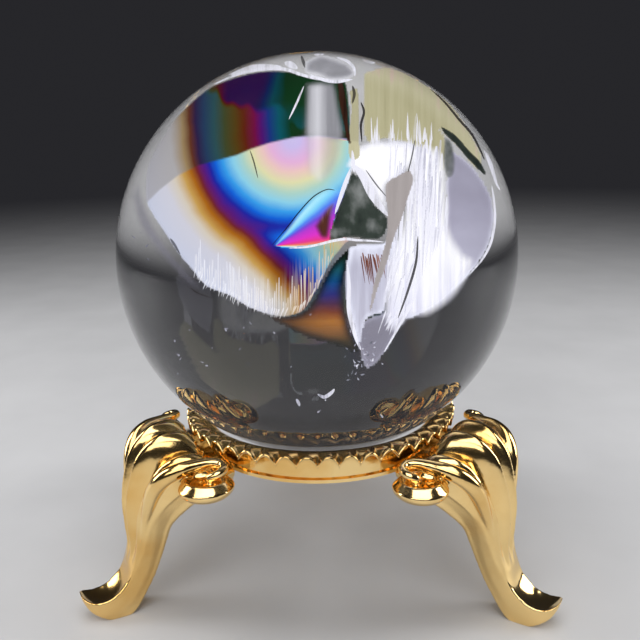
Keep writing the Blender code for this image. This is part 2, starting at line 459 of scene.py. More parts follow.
def rim_section(wave):
    """The frill's section as (radius, height). wave is 0 in a groove and 1 on a crown."""
    lift = RIM_WAVE * (2 * wave - 1)
    pinch = RIM_PINCH * (1 - wave)
    return [
        (14.6, RIM_BOTTOM), (15.5, RIM_BOTTOM), (16.1, RIM_BOTTOM + 0.02 + 0.3 * lift),
        (16.7, RIM_BOTTOM - 0.02 + 0.75 * lift), (17.15, RIM_BOTTOM - 0.08 + 0.95 * lift),
        (17.42 - pinch, RIM_BOTTOM - 0.05 + lift), (17.5 - pinch, RIM_BOTTOM + 0.1 + lift),
        (17.45 - pinch, RIM_BOTTOM + 0.28 + lift), (17.22 - pinch, RIM_BOTTOM + 0.36 + lift),
        (17.0, RIM_BOTTOM + 0.30 + 0.95 * lift), (16.8, RIM_BOTTOM + 0.42 + 0.85 * lift),
        (16.4, RIM_BOTTOM + 0.62 + 0.55 * lift), (15.9, RIM_BOTTOM + 0.72 + 0.3 * lift),
        (15.4, RIM_BOTTOM + 0.68 + 0.1 * lift), (15.0, RIM_BOTTOM + 0.55), (14.6, RIM_BOTTOM + 0.3),
    ]


def rim():
    """The fluted frill that the ball sits on, one sheet thrown into sharp flutes."""
    count = RIM_FLUTES * STEPS_PER_FLUTE
    vertices = []
    for step in range(count):
        turn = 2 * math.pi * step / count
        wave = abs(math.sin(math.pi * step / STEPS_PER_FLUTE)) ** 0.8
        vertices += [(r * MM * math.cos(turn), r * MM * math.sin(turn), h * MM)
                     for r, h in rim_section(wave)]
    size = len(rim_section(0.0))
    faces = []
    for step in range(count):
        here, there = step * size, (step + 1) % count * size
        faces += [(here + k, there + k, there + (k + 1) % size, here + (k + 1) % size)
                  for k in range(size)]
    mesh = bpy.data.meshes.new("rim_frill")
    mesh.from_pydata(vertices, [], faces)
    bm = bmesh.new()
    bm.from_mesh(mesh)
    bmesh.ops.recalc_face_normals(bm, faces=bm.faces)
    bm.to_mesh(mesh)
    bm.free()
    mesh.shade_smooth()
    mesh.materials.append(gold("gilt_frill"))
    frill = add_piece("rim_frill", mesh, AXIS, "stand")
    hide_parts("rim_ring")


def carried_nodes():
    """The band and the screws keep their CAD meshes and get better materials."""
    finishes = {"ring_band": gold("gilt_ring_band")}
    for place in ("back", "left", "right"):
        finishes["leg_screw_" + place] = steel("steel_leg_screw_" + place)
    for name, finish in finishes.items():
        materials = frame["nodes"][name].data.materials
        materials.clear()
        materials.append(finish)


# Flaws inside the crystal. Each is laid out as it appears through the polished face, and is then put
# at a depth along the refracted line of sight. Its lean is that depth, as a share of the way through
# the ball: at the ball's middle, and how much it grows per ball radius to the right and upwards.

LAYOUT_REACH = 0.985         # flaws end this far from the middle, just inside the ball's outline
SHEET_THICK = 0.05
BLADE_THICK = 0.04


def refract(ray, normal, ratio):
    cosine = -np.sum(ray * normal, axis=1, keepdims=True)
    inner = 1 - ratio ** 2 * (1 - cosine ** 2)
    return ratio * ray + (ratio * cosine - np.sqrt(np.maximum(inner, 0.0))) * normal


def inside_ball(seen, depth):
    """Points from the ball's centre that are seen at (right, up), at a share of the way through it."""
    reach = np.linalg.norm(seen, axis=1, keepdims=True)
    seen = seen * np.minimum(1.0, LAYOUT_REACH / np.maximum(reach, 1e-9))
    ray = np.column_stack([seen * BALL_SPREAD, -np.ones(len(seen))]) @ np.array(VIEW_TURN).T
    ray /= np.linalg.norm(ray, axis=1, keepdims=True)
    start = np.array(VIEW_POINT - BALL_CENTRE)
    along = -ray @ start
    near = along - np.sqrt(np.maximum(along ** 2 - start @ start + BALL_RADIUS ** 2, 0.0))
    entry = start + ray * near[:, None]
    bent = refract(ray, entry / BALL_RADIUS, 1 / QUARTZ_INDEX)
    chord = -2 * np.sum(entry * bent, axis=1)
    return entry + bent * (chord * depth)[:, None]


def flaw_object(name, seen, faces, lean, values, material, thick):
    """A thin closed plate inside the ball. values holds the numbers painted on its points."""
    mesh = bpy.data.meshes.new(name)
    depth = lean[0] + lean[1] * seen[:, 0] + lean[2] * seen[:, 1]
    mesh.from_pydata(inside_ball(seen, depth).tolist(), [], faces)
    layout = mesh.uv_layers.new(name="seen")
    for loop in mesh.loops:
        layout.data[loop.index].uv = seen[loop.vertex_index]
    for label, numbers in values.items():
        layer = mesh.attributes.new(label, "FLOAT", "POINT")
        layer.data.foreach_set("value", np.asarray(numbers, np.float32))
    mesh.shade_smooth()
    mesh.materials.append(material)
    flaw = add_piece(name, mesh, BALL_CENTRE, "ball")
    plate = flaw.modifiers.new("Plate", "SOLIDIFY")
    plate.thickness = thick * MM
    plate.offset = 0


def smooth_step(low, high, value):
    t = np.clip((np.asarray(value) - low) / (high - low), 0, 1)
    return t * t * (3 - 2 * t)


def spot(x, y, place, width, height):
    """A soft round spot: 1 at its middle, falling away over its width and height."""
    return np.exp(-((x - place[0]) / width) ** 2 - ((y - place[1]) / height) ** 2)


def soft_line(far, width):
    """1 where far is 0, falling away over the width."""
    return np.exp(-(far / width) ** 2)


def above(line, x, y, soft=0.006):
    """1 above a line of (right, up) points and 0 below it."""
    return smooth_step(-soft, soft, y - np.interp(x, *zip(*line)))


def edge_distance(points, outline):
    """Signed distance from points to a closed outline: positive inside."""
    ring = np.array(smooth_path(list(outline) + [outline[0]], 8))[:-1]
    best = np.full(len(points), np.inf)
    inside = np.zeros(len(points), bool)
    for p, q in zip(ring, np.roll(ring, -1, axis=0)):
        side = q - p
        t = np.clip(((points - p) @ side) / max(side @ side, 1e-12), 0, 1)
        best = np.minimum(best, np.linalg.norm(points - (p + t[:, None] * side), axis=1))
        crosses = (p[1] > points[:, 1]) != (q[1] > points[:, 1])
        at = p[0] + (points[:, 1] - p[1]) * side[0] / (side[1] if side[1] else 1e-12)
        inside ^= crosses & (points[:, 0] < at)
    return np.where(inside, best, -best)


def path_distance(points, path):
    """Signed distance to an open path: positive on its right as it runs."""
    line = np.array(smooth_path(path, 6))
    best = np.full(len(points), np.inf)
    sign = np.ones(len(points))
    for a, b in zip(line, line[1:]):
        along = b - a
        t = np.clip(((points - a) @ along) / (along @ along), 0, 1)
        far = np.linalg.norm(points - (a + t[:, None] * along), axis=1)
        turn = (points[:, 0] - a[0]) * along[1] - (points[:, 1] - a[1]) * along[0]
        nearer = far < best
        best = np.where(nearer, far, best)
        sign = np.where(nearer, np.sign(turn), sign)
    return best * sign


SHEET_STEP, FINE_STEP, FINEST_STEP = 0.014, 0.008, 0.006      # mesh steps of the sheets


def sheet(name, outline, lean, fields, material, step=SHEET_STEP, feather=0.012):
    """A curved veil that fills an outline. fields gives its painted numbers from (right, up, edge)."""
    ring = np.array(outline)
    low, high = ring.min(axis=0) - 2 * step, ring.max(axis=0) + 2 * step
    columns = int((high[0] - low[0]) / step) + 1
    rows = int((high[1] - low[1]) / step) + 1
    grid = np.array([(low[0] + i * step, low[1] + j * step)
                     for j in range(rows) for i in range(columns)])
    edge = edge_distance(grid, outline)
    keep = edge > -0.5 * step
    faces = []
    for j in range(rows - 1):
        for i in range(columns - 1):
            k = j * columns + i
            corners = (k, k + 1, k + columns + 1, k + columns)
            if all(keep[c] for c in corners):
                faces.append(corners)
    used = sorted({c for face in faces for c in face})
    index = {c: n for n, c in enumerate(used)}
    faces = [tuple(index[c] for c in face) for face in faces]
    grid, edge = grid[used], edge[used]
    values = fields(grid[:, 0], grid[:, 1], edge)
    values["cover"] = values["cover"] * smooth_step(0.0, feather, edge)
    flaw_object(name, grid, faces, lean, values, material, SHEET_THICK)


def bands(name, strips, lean, material):
    """Narrow strips as one piece. A strip is rows of (middle, towards its side, tone, cover)."""
    seen, faces, tones, covers = [], [], [], []
    for strip in strips:
        base = len(seen)
        for middle, aside, tone, cover in strip:
            seen += [middle - aside, middle + aside]
            tones += [tone, tone]
            covers += [cover, cover]
        faces += [(base + 2 * k, base + 2 * k + 1, base + 2 * k + 3, base + 2 * k + 2)
                  for k in range(len(strip) - 1)]
    seen = np.array(seen)
    values = {"tone": tones, "cover": covers, "lit": np.ones(len(seen))}
    flaw_object(name, seen, faces, lean, values, material, BLADE_THICK)


BLADE_SPANS = 6
THINNEST = 0.0006            # half the width of a blade's or stroke's tip


def blades(name, lines, lean, material, cover=1.0):
    """Straight tapering blades. Each line is (start, end, width, tone)."""
    strips = []
    for start, stop, width, tone in lines:
        start, stop = np.array(start), np.array(stop)
        ahead = stop - start
        side = np.array([-ahead[1], ahead[0]]) / max(np.linalg.norm(ahead), 1e-9)
        strip = []
        for k in range(BLADE_SPANS + 1):
            t = k / BLADE_SPANS
            half = 0.5 * width * (1 - t) ** 0.6 * min(1.0, 0.35 + 3 * t) + THINNEST
            strip.append((start + ahead * t, side * half, tone, cover * (1 - 0.5 * t)))
        strips.append(strip)
    bands(name, strips, lean, material)


def strokes(name, curves, lean, material):
    """Thin strokes along curves: each is (points, width, tone, cover), widest in the middle."""
    strips = []
    for points, width, tone, cover in curves:
        line = np.array(smooth_path(points, 8))
        ahead = np.gradient(line, axis=0)
        ahead /= np.linalg.norm(ahead, axis=1, keepdims=True)
        side = np.column_stack([-ahead[:, 1], ahead[:, 0]])
        half = 0.5 * width * np.sin(np.pi * np.linspace(0, 1, len(line))) ** 0.5 + THINNEST
        strips.append([(middle, across * reach, tone, cover)
                       for middle, across, reach in zip(line, side, half)])
    bands(name, strips, lean, material)


# Materials of the flaws.

VEIL_GLOW_SHARE = 0.88         # how much of a veil's colour is painted glow, given out as emission, rather than surface colour


def painted(tree, label):
    """The numbers painted on a flaw's points."""
    return add_node(tree, "ShaderNodeAttribute", attribute_name=label).outputs["Fac"]


def shown(colour):
    """A displayed colour as linear light."""
    return tuple(c ** 2.2 for c in colour)


def streaks(tree, stretch, detail=3.0):
    """Noise over the layout, with so many features per ball radius across and up."""
    layout = add_node(tree, "ShaderNodeUVMap", uv_map="seen").outputs["UV"]
    mapping = add_node(tree, "ShaderNodeMapping", Scale=(*stretch, 1.0))
    tree.links.new(layout, mapping.inputs["Vector"])
    texture = add_node(tree, "ShaderNodeTexNoise", Scale=1.0, Detail=detail)
    tree.links.new(mapping.outputs["Vector"], texture.inputs["Vector"])
    return texture.outputs["Fac"]


def veil_shader(tree, shader, colour, cover):
    """A veil glows: its colour is painted light, given out as emission at the painted strength lit, and
    only a little of it stays as surface colour.
    """
    link = tree.links.new
    surface_colour = add_node(tree, "ShaderNodeMix", data_type="RGBA")
    surface_colour.inputs["Factor"].default_value = VEIL_GLOW_SHARE
    link(colour, surface_colour.inputs["A"])
    surface_colour.inputs["B"].default_value = (0.0, 0.0, 0.0, 1.0)
    link(surface_colour.outputs["Result"], shader.inputs["Base Color"])
    link(colour, shader.inputs["Emission Color"])
    link(painted(tree, "lit"), shader.inputs["Emission Strength"])
    link(cover, shader.inputs["Alpha"])
    shader.inputs["Roughness"].default_value = 0.45
    shader.inputs["Specular IOR Level"].default_value = 0.1


def film_ramp(tree, value, stops):
    """The film's colours over a value that runs between the first and last stop."""
    low, high = stops[0][0], stops[-1][0]
    share = maths(tree, "MULTIPLY_ADD", value, 1 / (high - low), -low / (high - low))
    return ramp(tree, share, [((at - low) / (high - low), shown(c)) for at, c in stops])


def film_material(name, bright, dim, waver=0.012):
    """An iridescent air film: colour follows its thickness, and fine combing crosses its edge."""
    material, tree, shader = new_material(name)
    drift = maths(tree, "MULTIPLY_ADD", streaks(tree, (9.0, 9.0)), 2 * waver, -waver)
    value = maths(tree, "ADD", painted(tree, "film"), drift)
    mix = add_node(tree, "ShaderNodeMix", data_type="RGBA")
    tree.links.new(painted(tree, "glare"), mix.inputs["Factor"])
    tree.links.new(film_ramp(tree, value, dim), mix.inputs["A"])
    tree.links.new(film_ramp(tree, value, bright), mix.inputs["B"])
    teeth = ramp(tree, streaks(tree, (110.0, 3.5)), [(0.42, (0.0, 0.0, 0.0)), (0.60, (1.0, 1.0, 1.0))])
    combed = add_node(tree, "ShaderNodeMix", data_type="RGBA", blend_type="SCREEN")
    tree.links.new(maths(tree, "MULTIPLY", painted(tree, "comb"), teeth), combed.inputs["Factor"])
    tree.links.new(mix.outputs["Result"], combed.inputs["A"])
    combed.inputs["B"].default_value = (0.40, 0.38, 0.36, 1.0)
    veil_shader(tree, shader, combed.outputs["Result"], painted(tree, "cover"))
    return material


def veil_material(name, stops, stretch=(8.0, 8.0), grain=0.5, holes=0.0):
    """A healed fracture: displayed colours over its tone, with grain, and holes where it thins."""
    material, tree, shader = new_material(name)
    texture = streaks(tree, stretch, 5.0)
    tone = maths(tree, "MULTIPLY_ADD", texture, grain, painted(tree, "tone"))
    tone = maths(tree, "SUBTRACT", tone, 0.5 * grain)
    colour = ramp(tree, tone, [(at, shown(c)) for at, c in stops])
    thin = ramp(tree, texture, [(0.38, (1 - holes,) * 3), (0.55, (1.0, 1.0, 1.0))])
    veil_shader(tree, shader, colour, maths(tree, "MULTIPLY", painted(tree, "cover"), thin))
    return material


# Where the flaws' edges and lines run, in the tables from here to SHADOWS and in the limits of the
# functions that paint and strew them, was read off the reference picture in its pixels and changed to
# ball radii by separate scripts. It isn't worked out from the shape and isn't an example to follow.

# Interference colours by signed distance from the first purple band: in the full light of the
# glare, and above it where only the film itself shows.
FILM_BRIGHT = [
    (-0.30, (0.79, 0.81, 0.89)), (-0.19, (0.82, 0.82, 0.87)), (-0.135, (0.84, 0.80, 0.74)),
    (-0.09, (0.78, 0.62, 0.34)), (-0.05, (0.66, 0.40, 0.12)), (-0.018, (0.45, 0.16, 0.18)),
    (0.012, (0.36, 0.13, 0.46)), (0.042, (0.14, 0.16, 0.62)), (0.075, (0.10, 0.38, 0.84)),
    (0.115, (0.24, 0.62, 0.92)), (0.16, (0.55, 0.82, 0.92)), (0.21, (0.68, 0.83, 0.78)),
    (0.26, (0.88, 0.87, 0.68)), (0.315, (0.93, 0.78, 0.76)), (0.36, (0.90, 0.70, 0.86)),
    (0.43, (0.80, 0.74, 0.93)), (0.60, (0.80, 0.80, 0.93)),
]
FILM_DIM = [
    (-0.30, (0.68, 0.68, 0.72)), (-0.12, (0.68, 0.67, 0.68)), (-0.06, (0.60, 0.51, 0.37)),
    (-0.022, (0.38, 0.21, 0.15)), (0.01, (0.19, 0.14, 0.28)), (0.05, (0.16, 0.24, 0.36)),
    (0.10, (0.18, 0.31, 0.33)), (0.15, (0.25, 0.28, 0.17)), (0.20, (0.32, 0.25, 0.10)),
    (0.25, (0.37, 0.15, 0.08)), (0.30, (0.43, 0.08, 0.26)), (0.335, (0.30, 0.10, 0.43)),
    (0.37, (0.12, 0.20, 0.48)), (0.42, (0.06, 0.33, 0.38)), (0.48, (0.07, 0.22, 0.12)),
    (0.60, (0.12, 0.15, 0.09)),
]
# Colours of the facet by height, and of the swoosh by angle around its tip in degrees.
FACET_FILM = [
    (-0.496, (0.10, 0.11, 0.07)), (-0.447, (0.24, 0.19, 0.07)), (-0.397, (0.50, 0.33, 0.16)),
    (-0.347, (0.64, 0.40, 0.13)), (-0.298, (0.45, 0.20, 0.07)), (-0.258, (0.28, 0.09, 0.24)),
    (-0.213, (0.12, 0.12, 0.44)), (-0.159, (0.08, 0.28, 0.52)), (-0.089, (0.13, 0.36, 0.42)),
    (-0.025, (0.12, 0.22, 0.17)), (0.040, (0.13, 0.12, 0.07)),
]
SWOOSH_FILM = [
    (-6, (0.30, 0.75, 0.95)), (-1, (0.90, 0.93, 0.85)), (3, (0.92, 0.50, 0.35)),
    (8, (0.90, 0.24, 0.55)), (16, (0.86, 0.22, 0.78)), (26, (0.72, 0.24, 0.80)),
    (33, (0.45, 0.30, 0.85)), (38, (0.34, 0.52, 0.95)), (43, (0.50, 0.82, 0.98)),
    (49, (0.70, 0.94, 1.0)), (58, (0.52, 0.84, 0.96)),
]

# The first purple band of the film, from the top down, and the round middle of its bright part.
PURPLE_BAND = [
    (-0.615, 0.953), (-0.610, 0.744), (-0.610, 0.620), (-0.602, 0.523), (-0.586, 0.432),
    (-0.547, 0.337), (-0.491, 0.238), (-0.417, 0.155), (-0.352, 0.114), (-0.290, 0.051),
    (-0.228, -0.012), (-0.164, -0.074), (-0.124, -0.129), (-0.067, -0.172), (-0.035, -0.238),
    (-0.025, -0.387),
]
FILM_MIDDLE = (-0.124, 0.556)
FILM_ROUND = 0.471
# The upper edge of the glare, and the ridge under the film's bright part, as heights over X.
GLARE_EDGE = [
    (-0.91, 0.18), (-0.78, 0.31), (-0.69, 0.38), (-0.59, 0.43), (-0.40, 0.48),
    (-0.33, 0.51), (-0.24, 0.54), (-0.11, 0.57), (0.01, 0.58), (0.14, 0.56),
    (0.24, 0.54), (0.41, 0.55), (0.61, 0.54), (0.78, 0.46),
]
RIDGE = [
    (-0.308, 0.055), (-0.223, 0.030), (-0.139, 0.022), (-0.055, 0.027), (0.015, 0.042),
    (0.084, 0.057), (0.144, 0.065), (0.194, 0.060), (0.258, 0.057), (0.323, 0.050),
]
SWOOSH_TIP = (-0.208, 0.030)
# The foot of the violet and green fields at the film's top.
VIOLET_FOOT = [
    (-0.496, 0.790), (-0.471, 0.745), (-0.422, 0.734), (-0.357, 0.715), (-0.273, 0.700),
    (-0.223, 0.730), (-0.159, 0.695), (-0.104, 0.615), (0.139, 0.581),
]


def rainbow_fields(x, y, edge):
    by_band = -path_distance(np.column_stack([x, y]), PURPLE_BAND)
    reach = np.hypot(x - FILM_MIDDLE[0], y - FILM_MIDDLE[1])
    round_part = smooth_step(0.50, 0.42, reach)
    over_glare = above(GLARE_EDGE, x, y)
    film = by_band + (1 - over_glare) * round_part * ((FILM_ROUND - reach) - by_band)
    foot = np.interp(x, *zip(*VIOLET_FOOT)) + 0.014 * np.sin(60 * x) * np.sin(23 * x)
    violet = over_glare * smooth_step(-0.020, 0.026, y - foot) * smooth_step(-0.590, -0.430, x)
    lean = x + 0.35 * (0.80 - y)
    film = film + violet * smooth_step(-0.05, -0.26, lean) * (0.338 - film)
    film = film + violet * smooth_step(-0.30, -0.12, lean) * (0.47 + 0.25 * (y - 0.7) - film)
    # Painted glow: dimmer in the left part of the violet field and below the ridge.
    lit = 1.0 - 0.68 * violet * smooth_step(-0.10, -0.28, lean)
    under_ridge = (1 - above(RIDGE, x, y)) * smooth_step(-0.273, -0.184, x)
    lit = lit * (1 - 0.30 * under_ridge)
    comb = smooth_step(0.21, 0.05, edge) * smooth_step(0.000, -0.099, y)
    comb = comb * smooth_step(-0.665, -0.581, x)
    return {"film": film, "glare": 1 - over_glare, "lit": lit, "comb": comb, "cover": 0.97 + 0 * x}


def facet_fields(x, y, edge):
    # Painted glow: dimmer to the left and fading at the edges.
    lit = 0.35 + 0.65 * smooth_step(-0.159, 0.089, x)
    lit = lit * smooth_step(0.0, 0.05, edge)
    return {"film": y, "glare": 1 + 0 * x, "lit": lit, "comb": 0 * x, "cover": 0.93 + 0 * x}


def swoosh_fields(x, y, edge):
    angle = np.degrees(np.arctan2(y - SWOOSH_TIP[1], x - SWOOSH_TIP[0]))
    blend = smooth_step(0.0, 0.035, edge)
    cover = 0.98 * (blend + (1 - blend) * smooth_step(42, 34, angle))
    return {"film": angle, "glare": 1 + 0 * x, "lit": 1.05 + 0 * x, "comb": 0 * x, "cover": cover}


def plain(tone, cover=0.95, lit=1.0):
    """Fields for a veil from a tone, cover and light, each a number or a function."""
    def fields(x, y, edge):
        rules = {"tone": tone, "cover": cover, "lit": lit}
        return {label: rule(x, y, edge) if callable(rule) else rule + 0 * x
                for label, rule in rules.items()}
    return fields


def lighter_below_glare(low, high):
    def rule(x, y, edge):
        return low + (high - low) * (1 - above(GLARE_EDGE, x, y))
    return rule


# Outlines of the veils, in ball radii right of and above the middle.
RAINBOW_EDGE = [
    (-0.61, 0.76), (-0.70, 0.67), (-0.77, 0.57), (-0.83, 0.46), (-0.85, 0.37),
    (-0.85, 0.26), (-0.82, 0.19), (-0.76, 0.10), (-0.68, -0.02), (-0.62, -0.09),
    (-0.55, -0.17), (-0.43, -0.22), (-0.33, -0.28), (-0.19, -0.32), (-0.08, -0.30),
    (-0.03, -0.24), (0.02, -0.15), (0.07, -0.05), (0.14, 0.04), (0.16, 0.06),
    (0.09, 0.13), (0.13, 0.26), (0.17, 0.40), (0.17, 0.56), (0.16, 0.75), (0.13, 0.86),
    (0.01, 0.86), (-0.16, 0.90), (-0.33, 0.89), (-0.51, 0.83),
]
FACET_EDGE = [
    (0.17, 0.04), (0.16, -0.03), (0.13, -0.17), (0.14, -0.27), (0.16, -0.38),
    (0.21, -0.50), (0.08, -0.46), (-0.06, -0.42), (-0.18, -0.36), (-0.27, -0.31),
    (-0.18, -0.32), (-0.08, -0.30), (-0.02, -0.24), (0.07, -0.07),
]
SWOOSH_EDGE = [
    (-0.22, 0.03), (-0.15, 0.12), (-0.09, 0.20), (-0.02, 0.27), (0.04, 0.31),
    (0.10, 0.32), (0.14, 0.28), (0.10, 0.20), (0.08, 0.13), (0.07, 0.06), (0.01, 0.04),
    (-0.06, 0.03), (-0.14, 0.02),
]
DISC_EDGE = [
    (0.67, 0.51), (0.76, 0.44), (0.83, 0.35), (0.87, 0.26), (0.88, 0.16), (0.86, 0.05),
    (0.82, -0.03), (0.76, -0.11), (0.67, -0.20), (0.57, -0.28), (0.46, -0.33),
    (0.41, -0.32), (0.47, -0.19), (0.54, -0.05), (0.59, 0.06), (0.64, 0.18),
    (0.64, 0.36),
]
OLIVE_EDGE = [
    (0.23, 0.89), (0.34, 0.92), (0.46, 0.90), (0.57, 0.84), (0.65, 0.76), (0.72, 0.66),
    (0.78, 0.56), (0.82, 0.47), (0.79, 0.41), (0.71, 0.51), (0.61, 0.61), (0.64, 0.55),
    (0.63, 0.41), (0.58, 0.41), (0.54, 0.50), (0.47, 0.53), (0.40, 0.55), (0.33, 0.56),
    (0.27, 0.53), (0.23, 0.60), (0.23, 0.75),
]
WINDOW_EDGE = [
    (0.17, 0.40), (0.14, 0.32), (0.09, 0.19), (0.06, 0.06), (0.16, 0.07), (0.32, 0.07),
    (0.35, 0.17), (0.29, 0.24), (0.26, 0.29), (0.22, 0.37),
]
PILLAR_EDGE = [
    (-0.07, 0.85), (0.03, 0.86), (0.10, 0.84), (0.13, 0.70), (0.15, 0.57),
    (0.11, 0.41), (0.03, 0.33), (-0.06, 0.38), (-0.08, 0.56),
]
FACE_EDGE = [
    (0.16, 0.03), (0.22, 0.04), (0.30, 0.04), (0.40, 0.06), (0.40, -0.09),
    (0.35, -0.22), (0.33, -0.30), (0.25, -0.33), (0.21, -0.46), (0.17, -0.33),
    (0.14, -0.21), (0.14, -0.09),
]
TAIL_EDGE = [
    (0.34, -0.30), (0.43, -0.24), (0.50, -0.12), (0.48, -0.24), (0.40, -0.39),
    (0.34, -0.50), (0.25, -0.58), (0.21, -0.49), (0.19, -0.39), (0.25, -0.33),
]
GLOW_EDGE = [
    (0.20, 0.53), (0.27, 0.56), (0.37, 0.56), (0.48, 0.55), (0.49, 0.46), (0.45, 0.40),
    (0.40, 0.36), (0.35, 0.32), (0.36, 0.18), (0.29, 0.26), (0.22, 0.37), (0.17, 0.40),
    (0.14, 0.43), (0.16, 0.48),
]
TAUPE_EDGE = [
    (0.46, 0.41), (0.48, 0.36), (0.45, 0.26), (0.42, 0.16), (0.38, 0.06),
    (0.35, -0.05), (0.31, -0.16), (0.26, -0.31), (0.28, -0.16), (0.31, -0.05),
    (0.34, 0.06), (0.35, 0.18), (0.34, 0.33), (0.40, 0.38),
]
CAP_EDGE = [
    (-0.06, 0.95), (0.01, 0.98), (0.08, 0.97), (0.15, 0.94), (0.19, 0.89),
    (0.16, 0.86), (0.08, 0.85), (0.01, 0.87), (-0.06, 0.89),
]
BROWN_EDGE = [
    (0.10, 0.84), (0.13, 0.84), (0.15, 0.73), (0.16, 0.61), (0.17, 0.54), (0.15, 0.55),
    (0.13, 0.64), (0.11, 0.74),
]
STRIP_EDGE = [
    (0.16, 0.80), (0.20, 0.81), (0.21, 0.70), (0.21, 0.56), (0.21, 0.47), (0.16, 0.47),
    (0.16, 0.60), (0.17, 0.71),
]
SLASH_EDGE = [
    (0.61, 0.63), (0.69, 0.58), (0.76, 0.50), (0.81, 0.45), (0.84, 0.39), (0.82, 0.39),
    (0.75, 0.46), (0.69, 0.53), (0.63, 0.59),
]
BLOT_EDGE = [
    (0.63, 0.58), (0.67, 0.55), (0.69, 0.46), (0.68, 0.38), (0.64, 0.37), (0.62, 0.46),
]
MIST_EDGE = [
    (0.40, 0.54), (0.54, 0.54), (0.64, 0.48), (0.66, 0.26), (0.67, 0.12), (0.73, 0.01),
    (0.79, -0.05), (0.70, -0.22), (0.57, -0.32), (0.46, -0.34), (0.38, -0.41),
    (0.32, -0.30), (0.34, -0.09), (0.37, 0.04), (0.41, 0.14), (0.44, 0.26),
    (0.47, 0.39),
]
PATCH_EDGE = [
    (-0.02, 0.13), (0.01, 0.18), (0.06, 0.24), (0.09, 0.24), (0.08, 0.17),
    (0.07, 0.09), (0.05, 0.06), (0.01, 0.07),
]
LEFT_HAZE_EDGE = [
    (-0.93, 0.28), (-0.88, 0.36), (-0.85, 0.26), (-0.78, 0.10), (-0.69, -0.03),
    (-0.58, -0.17), (-0.63, -0.17), (-0.78, -0.02), (-0.89, 0.13),
]

# The feet of the film's comb.
COMB_FOOT = [
    (-0.630, -0.079), (-0.546, -0.174), (-0.432, -0.228), (-0.333, -0.283), (-0.194, -0.323),
    (-0.084, -0.303), (-0.025, -0.248), (0.025, -0.154), (0.094, -0.015),
]
COMB_TEETH = 62
# Where flakes gather: (middle, spread, how many).
SPECKS = [
    ((0.243, -0.496), (0.045, 0.05), 30), ((0.194, -0.605), (0.035, 0.03), 12),
    ((-0.382, -0.387), (0.20, 0.10), 9), ((0.065, -0.635), (0.30, 0.14), 7),
    ((-0.680, -0.480), (0.04, 0.08), 5), ((-0.860, 0.000), (0.03, 0.08), 4),
]
# Painted highlights: thin bright lines that glow where facets meet, and near the ball's top the painted
# reflection of the lights; and painted shadows, dark lines beside them: (points, width, tone, cover).
GLINTS = [
    ([(0.174, 0.427), (0.136, 0.328), (0.089, 0.189)], 0.020, 1.1, 1.0),
    ([(0.184, 0.432), (0.233, 0.367), (0.278, 0.278), (0.352, 0.179)], 0.040, 1.1, 1.0),
    ([(0.174, 0.506), (0.179, 0.452), (0.184, 0.397)], 0.016, 1.0, 1.0),
    ([(-0.139, 0.020), (-0.055, 0.025), (0.015, 0.040), (0.084, 0.057), (0.144, 0.065),
      (0.194, 0.060), (0.258, 0.057), (0.333, 0.050)], 0.012, 1.1, 1.0),
    ([(0.149, -0.050), (0.159, -0.164), (0.159, -0.288), (0.189, -0.412), (0.218, -0.486)],
     0.020, 1.0, 1.0),
    ([(0.759, -0.109), (0.824, -0.030), (0.864, 0.050), (0.883, 0.159), (0.878, 0.258),
      (0.868, 0.328)], 0.010, 1.0, 0.9),
    ([(-0.511, 0.834), (-0.392, 0.883), (-0.273, 0.908), (-0.159, 0.908), (-0.084, 0.883),
      (0.015, 0.859), (0.139, 0.859)], 0.014, 1.1, 0.9),
    ([(0.511, -0.099), (0.481, -0.228), (0.402, -0.377), (0.333, -0.496)], 0.010, 0.9, 0.8),
    ([(-0.065, 0.824), (-0.099, 0.744), (-0.139, 0.660)], 0.009, 1.0, 0.8),
    ([(0.829, 0.506), (0.859, 0.427), (0.888, 0.347), (0.908, 0.308)], 0.008, 0.8, 0.8),
    ([(-0.442, 0.882), (-0.323, 0.914), (-0.177, 0.922)], 0.030, 1.1, 0.9),
    ([(-0.161, 0.940), (-0.129, 0.930), (-0.097, 0.911)], 0.030, 1.2, 1),
    ([(0.096, 0.967), (0.153, 0.946), (0.182, 0.914), (0.188, 0.874)], 0.014, 1.1, 0.9),
    ([(-0.037, 0.882), (0.036, 0.855), (0.103, 0.847), (0.176, 0.858)], 0.016, 1.1, 1),
    ([(-0.014, 0.980), (0.036, 0.983)], 0.010, 1, 0.9),
    ([(0.225, 0.959), (0.289, 0.940)], 0.022, 0.9, 0.8),
    ([(0.003, -0.705), (0.036, -0.719), (0.069, -0.700), (0.087, -0.679)], 0.016, 0.6, 0.7),
    ([(-0.103, -0.729), (-0.093, -0.745), (-0.086, -0.764)], 0.013, 0.55, 0.7),
    ([(0.840, 0.494), (0.867, 0.427), (0.894, 0.328)], 0.012, 0.9, 0.8),
]
